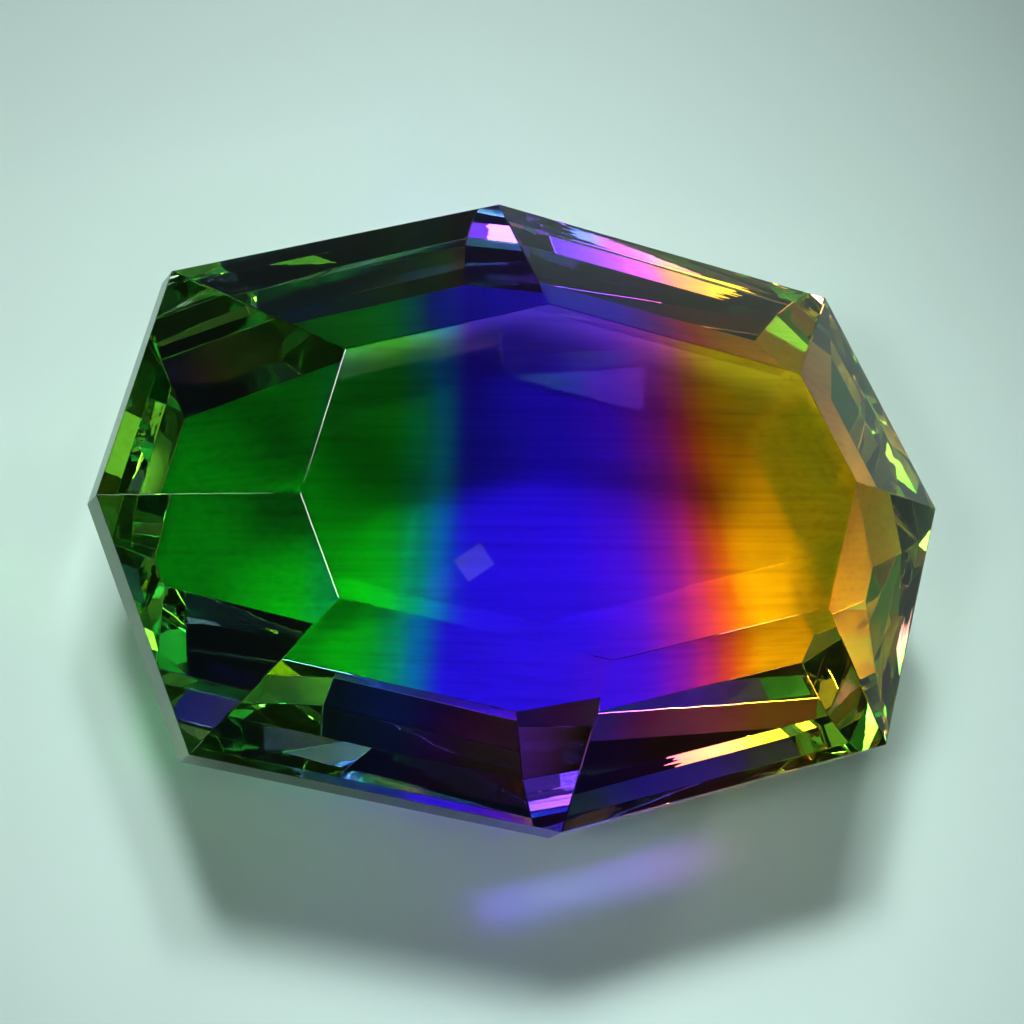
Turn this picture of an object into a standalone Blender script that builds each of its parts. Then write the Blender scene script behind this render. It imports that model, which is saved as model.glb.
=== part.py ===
"""Tourmaline gemstone, cut as a long octagon: a table and eight crown facets above a
thin girdle, and a shallow step-cut pavilion below it that ends in a large flat culet.

Metres, +Z up. The stone stands on its culet with its table up and its length along X.
Each facet is one flat cut through a block, as a lapidary grinds one flat after another.
"""

import math

import bmesh
import bpy
from mathutils import Vector

MM = 0.001

# The eight sides of the outline, in order round the stone, starting at the +X end.
# Direction each side faces, from +X towards +Y. Hand cutting left no two quite alike.
SIDE_DIRECTION_DEG = (24.1, 76.5, 103.8, 159.0, 196.8, 257.2, 282.3, 340.2)
# How far from the middle each side of the girdle, the table and the culet lies.
GIRDLE_REACH_MM = (19.5, 14.6, 14.8, 19.6, 19.7, 14.6, 14.6, 19.8)
TABLE_REACH_MM = (12.6, 7.8, 8.2, 12.1, 12.9, 7.9, 8.2, 12.9)
CULET_REACH_MM = (13.2, 7.2, 7.2, 12.9, 13.3, 4.3, 4.7, 13.7)

CROWN_HEIGHT_MM = 5.9
GIRDLE_HEIGHT_MM = 1.7
PAVILION_DEPTH_MM = 7.3

# The pavilion's four steps, from the girdle down to the culet: where each one ends, as
# a share of the way in from the girdle to the culet and of the way down. Each step is
# flatter than the one above it.
PAVILION_STEPS = (
    (0.10, 0.24),
    (0.28, 0.48),
    (0.56, 0.75),
    (1.00, 1.00),
)

BLOCK_SIZE_MM = 90.0
UP = Vector((0.0, 0.0, 1.0))


def side_normal(side):
    """Level unit vector that one side of the outline faces along."""
    turn = math.radians(SIDE_DIRECTION_DEG[side])
    return Vector((math.cos(turn), math.sin(turn), 0.0))


def grind(stone, point, normal):
    """Cut everything beyond one plane off the stone and close it with a flat facet."""
    result = bmesh.ops.bisect_plane(
        stone,
        geom=stone.verts[:] + stone.edges[:] + stone.faces[:],
        dist=1e-7,
        plane_co=point,
        plane_no=normal,
        clear_outer=True,
    )
    rim = [item for item in result["geom_cut"] if isinstance(item, bmesh.types.BMEdge)]
    bmesh.ops.holes_fill(stone, edges=rim)


def cut_outline(stone):
    """Eight upright flats that give the girdle its outline."""
    for side, reach in enumerate(GIRDLE_REACH_MM):
        normal = side_normal(side)
        grind(stone, normal * reach * MM, normal)


def cut_crown(stone, girdle_top):
    """Table, then one flat facet from each side of the girdle up to the table."""
    height = CROWN_HEIGHT_MM * MM
    grind(stone, UP * (girdle_top + height), UP)
    for side, reach in enumerate(GIRDLE_REACH_MM):
        outward = side_normal(side)
        run = (reach - TABLE_REACH_MM[side]) * MM
        edge_point = outward * reach * MM + UP * girdle_top
        grind(stone, edge_point, (outward * height + UP * run).normalized())


def cut_pavilion(stone, girdle_bottom):
    """Steps of flat facets below the girdle, down to the culet that closes them."""
    depth = PAVILION_DEPTH_MM * MM
    for side, reach in enumerate(GIRDLE_REACH_MM):
        outward = side_normal(side)
        way_in = (reach - CULET_REACH_MM[side]) * MM
        share_in = 0.0
        share_down = 0.0
        for next_in, next_down in PAVILION_STEPS:
            run = (next_in - share_in) * way_in
            drop = (next_down - share_down) * depth
            edge_point = outward * (reach * MM - share_in * way_in)
            edge_point += UP * (girdle_bottom - share_down * depth)
            grind(stone, edge_point, (outward * drop - UP * run).normalized())
            share_in = next_in
            share_down = next_down
    grind(stone, UP * (girdle_bottom - depth), -UP)


def stand_on_culet(stone):
    """Move the stone so that the middle of its box is over the origin, culet at Z = 0."""
    spots = [vertex.co for vertex in stone.verts]
    low = Vector([min(spot[axis] for spot in spots) for axis in range(3)])
    high = Vector([max(spot[axis] for spot in spots) for axis in range(3)])
    middle = (low + high) / 2.0
    bmesh.ops.translate(stone, verts=stone.verts, vec=(-middle.x, -middle.y, -low.z))


def tourmaline_material():
    """Clear stone; the middle of its three colours stands for all of them here."""
    material = bpy.data.materials.new("tourmaline")
    material.use_nodes = True
    shader = material.node_tree.nodes["Principled BSDF"]
    shader.inputs["Base Color"].default_value = (0.06, 0.02, 0.45, 1.0)
    shader.inputs["Roughness"].default_value = 0.03
    shader.inputs["Metallic"].default_value = 0.0
    return material


for leftover in list(bpy.data.objects):
    bpy.data.objects.remove(leftover)

gem = bmesh.new()
bmesh.ops.create_cube(gem, size=BLOCK_SIZE_MM * MM)
cut_outline(gem)
cut_crown(gem, girdle_top=GIRDLE_HEIGHT_MM * MM)
cut_pavilion(gem, girdle_bottom=0.0)
stand_on_culet(gem)
bmesh.ops.recalc_face_normals(gem, faces=gem.faces)

gem_mesh = bpy.data.meshes.new("gemstone")
gem.to_mesh(gem_mesh)
gem.free()
gem_mesh.materials.append(tourmaline_material())

gemstone = bpy.data.objects.new("gemstone", gem_mesh)
collection = bpy.data.collections.new("bicolor_tourmaline_gemstone")
bpy.context.scene.collection.children.link(collection)
collection.objects.link(gemstone)
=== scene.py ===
import math

import bpy
from mathutils import Matrix, Vector


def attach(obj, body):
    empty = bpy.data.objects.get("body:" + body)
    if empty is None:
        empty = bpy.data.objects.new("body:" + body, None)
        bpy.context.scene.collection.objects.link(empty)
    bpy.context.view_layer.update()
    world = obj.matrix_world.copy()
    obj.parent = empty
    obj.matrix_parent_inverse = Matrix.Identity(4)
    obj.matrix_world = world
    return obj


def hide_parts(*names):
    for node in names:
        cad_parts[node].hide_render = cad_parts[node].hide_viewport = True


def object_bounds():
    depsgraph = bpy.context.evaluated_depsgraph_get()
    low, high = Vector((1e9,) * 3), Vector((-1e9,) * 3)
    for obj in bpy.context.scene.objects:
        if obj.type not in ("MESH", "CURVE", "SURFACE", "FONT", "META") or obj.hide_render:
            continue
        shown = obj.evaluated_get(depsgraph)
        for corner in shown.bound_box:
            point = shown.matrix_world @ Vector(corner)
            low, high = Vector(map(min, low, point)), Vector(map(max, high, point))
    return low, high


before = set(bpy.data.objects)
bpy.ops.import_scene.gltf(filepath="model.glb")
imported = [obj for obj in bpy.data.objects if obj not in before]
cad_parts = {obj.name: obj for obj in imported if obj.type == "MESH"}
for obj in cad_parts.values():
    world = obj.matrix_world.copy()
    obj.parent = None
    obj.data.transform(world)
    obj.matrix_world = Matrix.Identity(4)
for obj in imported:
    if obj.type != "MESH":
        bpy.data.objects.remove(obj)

cad_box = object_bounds()

# ---------------------------------------------------------------------------
# The stone: one tourmaline crystal that grew green, then violet-blue, then amber.
# A slice of it was ground flat by flat on a lap into a long octagon and polished, all
# but the narrow upright girdle, which was left finely ground where the stone was held.

MM = 0.001

# Eight sides of the outline, in order round the stone from its amber end: the way each
# one faces, from +X towards +Y, and how far from the middle the girdle, the table and
# the culet lie on that side. It was cut by hand, so no two sides are quite alike.
side_direction_deg = (24.1, 76.5, 103.8, 159.0, 196.8, 257.2, 282.3, 340.2)
girdle_reach_mm = (19.5, 14.6, 14.8, 19.6, 19.7, 14.6, 14.6, 19.8)
table_reach_mm = (12.6, 7.8, 8.2, 12.1, 12.9, 7.9, 8.2, 12.9)
culet_reach_mm = (13.2, 7.2, 7.2, 12.9, 13.3, 4.3, 4.7, 13.7)

crown_height_mm = 5.9
girdle_height_mm = 1.7
pavilion_depth_mm = 7.3

# Where each pavilion step ends, as a share of the way in from the girdle to the culet
# and of the way down.
pavilion_steps = (
    (0.10, 0.24),
    (0.28, 0.48),
    (0.56, 0.75),
    (1.00, 1.00),
)

rough_block_mm = 90.0
up = Vector((0.0, 0.0, 1.0))
girdle_top = (pavilion_depth_mm + girdle_height_mm) * MM
girdle_bottom = pavilion_depth_mm * MM


def side_normal(side):
    """Level unit vector that one side of the outline faces along."""
    turn = math.radians(side_direction_deg[side])
    return Vector((math.cos(turn), math.sin(turn), 0.0))


def grind_flat(point, normal):
    """Take off all that stands beyond one plane and leave a flat there."""
    bpy.ops.mesh.select_all(action="SELECT")
    bpy.ops.mesh.bisect(
        plane_co=point,
        plane_no=normal,
        use_fill=True,
        clear_outer=True,
        threshold=1e-7,
    )


bpy.ops.object.select_all(action="DESELECT")
bpy.ops.mesh.primitive_cube_add(size=rough_block_mm * MM)
stone = bpy.context.object
stone.name = "tourmaline_stone"
bpy.ops.object.mode_set(mode="EDIT")

for side, reach in enumerate(girdle_reach_mm):
    grind_flat(side_normal(side) * reach * MM, side_normal(side))

crown_height = crown_height_mm * MM
grind_flat(up * (girdle_top + crown_height), up)
for side, reach in enumerate(girdle_reach_mm):
    run = (reach - table_reach_mm[side]) * MM
    facing = side_normal(side) * crown_height + up * run
    grind_flat(side_normal(side) * reach * MM + up * girdle_top, facing.normalized())

for side, reach in enumerate(girdle_reach_mm):
    outward = side_normal(side)
    way_in = (reach - culet_reach_mm[side]) * MM
    share_in = 0.0
    share_down = 0.0
    for next_in, next_down in pavilion_steps:
        run = (next_in - share_in) * way_in
        drop = (next_down - share_down) * girdle_bottom
        edge_point = outward * (reach * MM - share_in * way_in)
        edge_point += up * girdle_bottom * (1.0 - share_down)
        grind_flat(edge_point, (outward * drop - up * run).normalized())
        share_in = next_in
        share_down = next_down
grind_flat(Vector((0.0, 0.0, 0.0)), -up)

# The stone is moved so that its box fills the frame's box.
bpy.ops.mesh.select_all(action="SELECT")
bpy.ops.mesh.normals_make_consistent(inside=False)
bpy.ops.object.mode_set(mode="OBJECT")
low_corner = Vector([min(vertex.co[axis] for vertex in stone.data.vertices) for axis in range(3)])
to_frame = Vector(cad_box[0]) - low_corner
bpy.ops.object.mode_set(mode="EDIT")
bpy.ops.transform.translate(value=to_frame)
bpy.ops.mesh.select_all(action="DESELECT")
bpy.ops.object.mode_set(mode="OBJECT")

# Wear and the last polish have rounded the arrises, and most on the crown.
arris_width_mm = 0.03
crown_arris_width_mm = 0.05
crown_arris_starts = girdle_top + 0.5 * MM

stone.data.attributes.new("bevel_weight_edge", "FLOAT", "EDGE")
weights = stone.data.attributes["bevel_weight_edge"].data
for edge in stone.data.edges:
    ends = [stone.data.vertices[index].co for index in edge.vertices]
    middle = (ends[0] + ends[1]) / 2.0
    on_crown = middle.z > crown_arris_starts
    width_mm = crown_arris_width_mm if on_crown else arris_width_mm
    weights[edge.index].value = width_mm / crown_arris_width_mm

worn_arrises = stone.modifiers.new("worn arrises", "BEVEL")
worn_arrises.limit_method = "WEIGHT"
worn_arrises.width = crown_arris_width_mm * MM
worn_arrises.segments = 3
bpy.context.view_layer.objects.active = stone
bpy.ops.object.modifier_apply(modifier=worn_arrises.name)


def linear(hex_colour):
    """An sRGB hex colour as the linear colour that a socket takes."""
    colour = []
    for start in (1, 3, 5):
        share = int(hex_colour[start:start + 2], 16) / 255.0
        if share <= 0.04045:
            colour.append(share / 12.92)
        else:
            colour.append(((share + 0.055) / 1.055) ** 2.4)
    return (*colour, 1.0)


def add_node(material, kind, settings=None, inputs=None):
    """Add one node. An input is a plain value, or the output socket that feeds it."""
    node = material.node_tree.nodes.new(kind)
    for name, value in (settings or {}).items():
        setattr(node, name, value)
    for name, value in (inputs or {}).items():
        if isinstance(value, bpy.types.NodeSocket):
            material.node_tree.links.new(value, node.inputs[name])
        else:
            node.inputs[name].default_value = value
    return node


# The crystal's colour. Iron tints its first growth green and its middle violet-blue,
# manganese and titanium its last growth amber. Each stop is a place along the stone, in
# millimetres, and the colour there. The borders lean with height, slant across the
# stone, and fan out from its middle.
zone_stops = (
    (-6.4, "#30d53f"),
    (-5.0, "#2fc49c"),
    (-3.9, "#3cb0e4"),
    (-2.4, "#7044ff"),
    (2.5, "#7646ff"),
    (5.2, "#9245ff"),
    (7.0, "#c64bea"),
    (8.3, "#f05ccc"),
    (9.3, "#fb7480"),
    (10.1, "#ffa23c"),
    (10.9, "#ffc824"),
)
zone_half_length_mm = 21.0
zone_lean = 0.232
zone_slant = -0.047
zone_fan_per_m = 18.3
tourmaline_ior = 1.635
depth_shade = "#bcbcbc"
depth_density_per_m = 4.0


def add_zone_colour(material, place):
    """Add the nodes that turn a place in the stone into its zone's colour."""
    along = add_node(
        material,
        "ShaderNodeVectorMath",
        settings={"operation": "DOT_PRODUCT"},
        inputs={0: place, 1: (1.0, zone_slant, zone_lean)},
    )
    level_place = add_node(material, "ShaderNodeSeparateXYZ", inputs={"Vector": place})
    fan = add_node(
        material,
        "ShaderNodeMath",
        settings={"operation": "MULTIPLY"},
        inputs={0: level_place.outputs["X"], 1: level_place.outputs["Y"]},
    )
    along_fanned = add_node(
        material,
        "ShaderNodeMath",
        settings={"operation": "MULTIPLY_ADD"},
        inputs={0: fan.outputs["Value"], 1: zone_fan_per_m, 2: along.outputs["Value"]},
    )
    share_along = add_node(
        material,
        "ShaderNodeMapRange",
        inputs={
            "Value": along_fanned.outputs["Value"],
            "From Min": -zone_half_length_mm * MM,
            "From Max": zone_half_length_mm * MM,
        },
    )
    zones = add_node(
        material,
        "ShaderNodeValToRGB",
        inputs={"Fac": share_along.outputs["Result"]},
    )
    zones.color_ramp.interpolation = "EASE"
    stops = zones.color_ramp.elements
    stops.remove(stops[-1])
    for number, (place_mm, hex_colour) in enumerate(zone_stops):
        share = (place_mm + zone_half_length_mm) / (2.0 * zone_half_length_mm)
        stop = stops[0] if number == 0 else stops.new(share)
        stop.position = share
        stop.color = linear(hex_colour)
    return zones.outputs["Color"]


def add_depth_shade(material):
    """Darken light a little for each millimetre of stone that it goes through."""
    shade = add_node(
        material,
        "ShaderNodeVolumeAbsorption",
        inputs={"Color": linear(depth_shade), "Density": depth_density_per_m},
    )
    output = material.node_tree.nodes["Material Output"]
    material.node_tree.links.new(shade.outputs["Volume"], output.inputs["Volume"])


# Polished elbaite tourmaline, a clear silicate. The eye gets deep clean colour from it,
# sharp mirror-bright facets, faint streaks that run along the crystal the way it grew,
# and faint level lines left by the lap.
growth_line_spacing_mm = 0.30
growth_line_length_mm = 14.0
growth_line_starts = 0.42
growth_line_full = 0.70
growth_line_strength = 0.38
growth_line_shade = "#b4bcd2"
polish_roughness = 0.0
polish_line_spacing_mm = 0.35
polish_line_length_mm = 9.0
polish_line_height_mm = 0.0006

polished = bpy.data.materials.new("polished tourmaline")
polished.use_nodes = True
place = add_node(polished, "ShaderNodeTexCoord").outputs["Object"]
zone_colour = add_zone_colour(polished, place)

growth_place = add_node(
    polished,
    "ShaderNodeMapping",
    inputs={
        "Vector": place,
        "Scale": (
            1.0 / (growth_line_length_mm * MM),
            1.0 / (growth_line_spacing_mm * MM),
            1.0 / (growth_line_spacing_mm * MM),
        ),
    },
)
growth_lines = add_node(
    polished,
    "ShaderNodeTexNoise",
    inputs={"Vector": growth_place.outputs["Vector"], "Scale": 1.0, "Detail": 1.0},
)
growth_share = add_node(
    polished,
    "ShaderNodeMapRange",
    inputs={
        "Value": growth_lines.outputs["Fac"],
        "From Min": growth_line_starts,
        "From Max": growth_line_full,
        "To Max": growth_line_strength,
    },
)
streaked = add_node(
    polished,
    "ShaderNodeMix",
    settings={"data_type": "RGBA", "blend_type": "MULTIPLY"},
    inputs={0: growth_share.outputs["Result"], 6: zone_colour, 7: linear(growth_line_shade)},
)

polish_place = add_node(
    polished,
    "ShaderNodeMapping",
    inputs={
        "Vector": place,
        "Scale": (
            1.0 / (polish_line_length_mm * MM),
            1.0 / (polish_line_length_mm * MM),
            1.0 / (polish_line_spacing_mm * MM),
        ),
    },
)
polish_lines = add_node(
    polished,
    "ShaderNodeTexNoise",
    inputs={"Vector": polish_place.outputs["Vector"], "Scale": 1.0, "Detail": 1.0},
)
polish = add_node(
    polished,
    "ShaderNodeBump",
    inputs={
        "Height": polish_lines.outputs["Fac"],
        "Distance": polish_line_height_mm * MM,
        "Strength": 1.0,
    },
)

shader = polished.node_tree.nodes["Principled BSDF"]
links = polished.node_tree.links
links.new(streaked.outputs[2], shader.inputs["Base Color"])
links.new(polish.outputs["Normal"], shader.inputs["Normal"])
shader.inputs["Roughness"].default_value = polish_roughness
shader.inputs["IOR"].default_value = tourmaline_ior
shader.inputs["Transmission Weight"].default_value = 1.0
add_depth_shade(polished)

# The girdle is the same crystal, finely ground and not polished. It gives the eye a
# soft sheen in place of sharp reflections, and a deep dull colour with a little of the
# grey-lavender of ground stone in it.
grit_size_mm = 0.12
grit_height_mm = 0.004
grit_shades = ("#a6aecb", "#c6cbe2")
grit_share = 0.08
ground_roughness = 0.16
ground_transmission = 0.85
ground_colour_depth = 3.0

ground = bpy.data.materials.new("ground tourmaline girdle")
ground.use_nodes = True
place = add_node(ground, "ShaderNodeTexCoord").outputs["Object"]
zone_colour = add_zone_colour(ground, place)
grit = add_node(
    ground,
    "ShaderNodeTexNoise",
    inputs={"Vector": place, "Scale": 1.0 / (grit_size_mm * MM), "Detail": 3.0},
)
grit_colour = add_node(
    ground,
    "ShaderNodeMix",
    settings={"data_type": "RGBA"},
    inputs={0: grit.outputs["Fac"], 6: linear(grit_shades[0]), 7: linear(grit_shades[1])},
)
deep_zones = add_node(
    ground,
    "ShaderNodeGamma",
    inputs={"Color": zone_colour, "Gamma": ground_colour_depth},
)
ground_colour = add_node(
    ground,
    "ShaderNodeMix",
    settings={"data_type": "RGBA"},
    inputs={0: grit_share, 6: deep_zones.outputs["Color"], 7: grit_colour.outputs[2]},
)
grit_bumps = add_node(
    ground,
    "ShaderNodeBump",
    inputs={"Height": grit.outputs["Fac"], "Distance": grit_height_mm * MM, "Strength": 1.0},
)

shader = ground.node_tree.nodes["Principled BSDF"]
links = ground.node_tree.links
links.new(ground_colour.outputs[2], shader.inputs["Base Color"])
links.new(grit_bumps.outputs["Normal"], shader.inputs["Normal"])
shader.inputs["Roughness"].default_value = ground_roughness
shader.inputs["IOR"].default_value = tourmaline_ior
shader.inputs["Transmission Weight"].default_value = ground_transmission
add_depth_shade(ground)

# Only the girdle's flats stand upright.
upright_limit = 0.02
polished_slot = 0
ground_slot = 1
stone.data.materials.clear()
stone.data.materials.append(polished)
stone.data.materials.append(ground)
for face in stone.data.polygons:
    upright = abs(face.normal.z) < upright_limit
    face.material_index = ground_slot if upright else polished_slot

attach(stone, "root")
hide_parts("gemstone")

# ---------------------------------------------------------------------------
# The floor: a plain pale board, faintly green-blue, with a dull satin face. The stone
# lies loose on it, with a hair of air under its culet.

floor_size_m = 0.8
air_gap_mm = 0.05
board_shades = ("#cfeee6", "#d5f3eb")
board_mottle_per_m = 60.0
board_roughness = 0.6

bpy.ops.object.select_all(action="DESELECT")
bpy.ops.mesh.primitive_plane_add(size=floor_size_m)
floor = bpy.context.object
floor.name = "pale_floor"

board = bpy.data.materials.new("pale satin board")
board.use_nodes = True
place = add_node(board, "ShaderNodeTexCoord").outputs["Object"]
mottle = add_node(
    board,
    "ShaderNodeTexNoise",
    inputs={"Vector": place, "Scale": board_mottle_per_m, "Detail": 3.0},
)
shades = add_node(
    board,
    "ShaderNodeMix",
    settings={"data_type": "RGBA"},
    inputs={0: mottle.outputs["Fac"], 6: linear(board_shades[0]), 7: linear(board_shades[1])},
)
shader = board.node_tree.nodes["Principled BSDF"]
board.node_tree.links.new(shades.outputs[2], shader.inputs["Base Color"])
shader.inputs["Roughness"].default_value = board_roughness
floor.data.materials.append(board)
floor.location.z = -air_gap_mm * MM

# ---------------------------------------------------------------------------
# The lights: five softboxes with grids, so that each lights the stone and a pool of
# floor round it and leaves the floor further off dim for the crown to mirror, and a row
# of weak ones further away.


def add_softbox(name, turn_deg, height_deg, away_m, size_m, watts, grid_deg, aim=(0.0, 0.0)):
    """A softbox placed by its direction from the stone and aimed at a spot on the floor."""
    turn = math.radians(turn_deg)
    height = math.radians(height_deg)
    level = math.cos(height)
    direction = Vector((math.cos(turn) * level, math.sin(turn) * level, math.sin(height)))
    lamp = bpy.data.lights.new(name, "AREA")
    lamp.shape = "RECTANGLE"
    lamp.size = size_m[0]
    lamp.size_y = size_m[1]
    lamp.energy = watts
    lamp.spread = math.radians(grid_deg)
    softbox = bpy.data.objects.new(name, lamp)
    softbox.location = direction * away_m + up * girdle_top
    facing_back = softbox.location - Vector((aim[0], aim[1], girdle_top))
    softbox.rotation_euler = facing_back.to_track_quat("Z", "Y").to_euler()
    bpy.context.scene.collection.objects.link(softbox)


# Turn and height in degrees as seen from the stone, distance, size, watts and grid.
key_aim_m = (-0.001, -0.004)
add_softbox("key_softbox", 118.0, 50.0, 0.30, (0.085, 0.075), 0.0132, 16.0, aim=key_aim_m)
add_softbox("second_softbox", 97.0, 50.0, 0.32, (0.070, 0.065), 0.0056, 16.0)
add_softbox("left_softbox", 189.0, 48.0, 0.32, (0.075, 0.070), 0.0032, 16.0)
add_softbox("back_softbox", 42.0, 30.0, 0.45, (0.06, 0.06), 0.0028, 22.0)
add_softbox("top_softbox", 260.0, 80.0, 0.35, (0.035, 0.035), 0.0012, 32.0)

# Weak ones, each of which lights one flash in the stone and adds little to the floor:
# turn, height, width and height of the box in metres, and how bright it looks from the
# stone, where 1 is as bright as a white card in full light.
flash_softboxes = (
    ("point_softbox", 181.0, 79.8, 0.16, 0.035, 16.0),
    ("glow_softbox", 181.0, 79.0, 0.20, 0.15, 1.3),
    ("streak_softbox", 249.0, 46.5, 0.42, 0.14, 6.0),
    ("ridge_softbox", 161.5, 62.5, 0.12, 0.12, 7.0),
    ("high_softbox", 115.0, 64.5, 0.09, 0.08, 6.0),
    ("band_softbox", 93.0, 36.5, 0.40, 0.30, 8.0),
    ("side_softbox", 248.0, 23.0, 0.14, 0.08, 5.0),
    ("tip_softbox", 358.0, 3.0, 0.05, 0.07, 1.0),
    ("sliver_softbox", 338.5, 19.5, 0.08, 0.08, 9.0),
    ("low_softbox", 172.3, 9.2, 0.13, 0.05, 9.0),
    ("corner_softbox", 259.0, 20.5, 0.12, 0.12, 12.0),
    ("edge_softbox", 300.0, 50.0, 0.14, 0.14, 6.0),
    ("arris_softbox", 163.0, 28.0, 0.14, 0.14, 4.0),
    ("horizon_softbox", 84.0, 3.0, 0.80, 0.20, 0.6),
    ("front_softbox", 249.0, 3.0, 0.25, 0.16, 0.4),
)
flash_away_m = 2.0
flash_grid_deg = 10.0

# A grid this narrow gathers a softbox's light 394 times as bright as an open one's.
flash_grid_gain = 394.0
watts_per_glow = math.pi / flash_grid_gain
for name, turn_deg, height_deg, width_m, tall_m, glow in flash_softboxes:
    watts = glow * width_m * tall_m * watts_per_glow
    add_softbox(name, turn_deg, height_deg, flash_away_m, (width_m, tall_m), watts, flash_grid_deg)

# A very small near one that the table mirrors as a dim square.
window_size_m = (0.0045, 0.0055)
window_away_m = 0.403
window_glow = 0.8
window_watts = window_glow * window_size_m[0] * window_size_m[1] * watts_per_glow
add_softbox(
    "window_softbox", 31.7, 66.57, window_away_m, window_size_m, window_watts, flash_grid_deg
)

studio_colour = "#eef8fa"
studio_strength = 0.015
studio = bpy.data.worlds.new("dim studio")
studio.use_nodes = True
background = studio.node_tree.nodes["Background"]
background.inputs["Color"].default_value = linear(studio_colour)
background.inputs["Strength"].default_value = studio_strength
bpy.context.scene.world = studio

# ---------------------------------------------------------------------------
# The camera looks down on the table from over the long side, nearest the green end, and
# is rolled so that the stone lies level in its view.

camera_turn_deg = -57.32
camera_height_deg = 64.21
camera_roll_deg = 55.11
camera_away_mm = 142.2
aim_mm = (-1.15, 0.015)
sensor_width_mm = 36.0
lens_mm = 108.0
clip_start_m = 0.005

camera_data = bpy.data.cameras.new("camera")
camera_data.sensor_width = sensor_width_mm
camera_data.lens = lens_mm
camera_data.clip_start = clip_start_m
camera = bpy.data.objects.new("camera", camera_data)
bpy.context.scene.collection.objects.link(camera)
turned = Matrix.Rotation(math.radians(camera_turn_deg), 4, "Z")
tipped = Matrix.Rotation(math.radians(90.0 - camera_height_deg), 4, "X")
rolled = Matrix.Rotation(math.radians(camera_roll_deg), 4, "Z")
aim = Vector((aim_mm[0] * MM, aim_mm[1] * MM, girdle_top)) + to_frame
pose = turned @ tipped @ rolled
camera.matrix_world = Matrix.Translation(aim + pose.col[2].xyz * camera_away_mm * MM) @ pose
bpy.context.scene.camera = camera

# A clear stone needs many bounces before light finds its way out, with nothing blurred
# or clamped, or the floor seen through it goes dim.
cycles = bpy.context.scene.cycles
cycles.max_bounces = 24
cycles.transmission_bounces = 20
cycles.glossy_bounces = 20
cycles.diffuse_bounces = 4
cycles.blur_glossy = 0.0
cycles.sample_clamp_indirect = 0.0
bpy.context.scene.view_settings.view_transform = "Standard"
bpy.context.scene.view_settings.look = "None"
